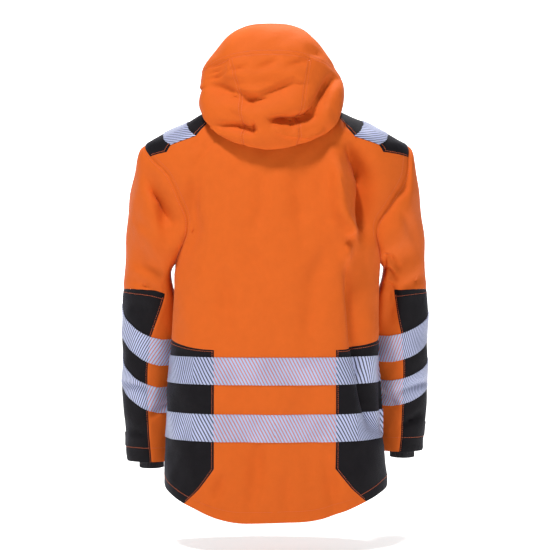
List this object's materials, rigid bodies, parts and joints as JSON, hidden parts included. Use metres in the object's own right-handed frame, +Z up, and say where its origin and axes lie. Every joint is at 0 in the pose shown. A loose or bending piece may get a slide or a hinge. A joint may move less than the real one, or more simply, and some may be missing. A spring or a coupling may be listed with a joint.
{
  "type": "hi-vis work jacket",
  "caption": "Hooded hi-vis work jacket, orange and black with reflective tapes, filled out as if worn, open inside, with a closed front zip and a drop-tail hem.",
  "frame": {"origin": "between the shoulders at the height of the neck, where the wearer carries it", "axes": "+Z up along the back, the front of the jacket faces -Y, +X is the wearer's left"},
  "size_m": [0.5928, 0.3139, 0.9129],
  "materials": {
    "orange_shell": "matte",
    "black_shell": "satin",
    "reflective_tape": "satin",
    "zip_tape": "matte",
    "knit": "matte",
    "cord": "matte",
    "plastic": "satin",
    "metal": "satin"
  },
  "bodies": {
    "jacket": {"back_panel": "orange_shell", "front_left": "orange_shell", "side_panel_left": "black_shell", "shoulder_patch_left": "black_shell", "sleeve_left": "orange_shell", "sleeve_outer_left": "black_shell", "zip_tape_left": "zip_tape", "front_right": "orange_shell", "side_panel_right": "black_shell", "shoulder_patch_right": "black_shell", "sleeve_right": "orange_shell", "sleeve_outer_right": "black_shell", "zip_tape_right": "zip_tape", "collar": "orange_shell", "hood_brim": "orange_shell", "hood_centre": "orange_shell", "hood_side_left": "orange_shell", "hood_side_right": "orange_shell", "body_tape_upper": "reflective_tape", "body_tape_lower": "reflective_tape", "sleeve_tape_upper_left": "reflective_tape", "sleeve_tape_lower_left": "reflective_tape", "shoulder_tape_left": "reflective_tape", "cuff_tab_left": "black_shell", "knit_cuff_left": "knit", "hood_eyelet_left": "metal", "hood_cord_left": "cord", "cord_lock_left": "plastic", "cord_end_left": "plastic", "sleeve_tape_upper_right": "reflective_tape", "sleeve_tape_lower_right": "reflective_tape", "shoulder_tape_right": "reflective_tape", "cuff_tab_right": "black_shell", "knit_cuff_right": "knit", "hood_eyelet_right": "metal", "hood_cord_right": "cord", "cord_lock_right": "plastic", "cord_end_right": "plastic", "zip_slider": "metal"},
    "zip_pull": {"zip_pull": "metal"}
  },
  "joints": [
    {"name": "pull_swing", "type": "hinge", "parent": "jacket", "child": "zip_pull", "pos_m": [0, -0.09138, 0.022], "axis": [-1, 0, 0], "range_deg": [0, 150]}
  ]
}
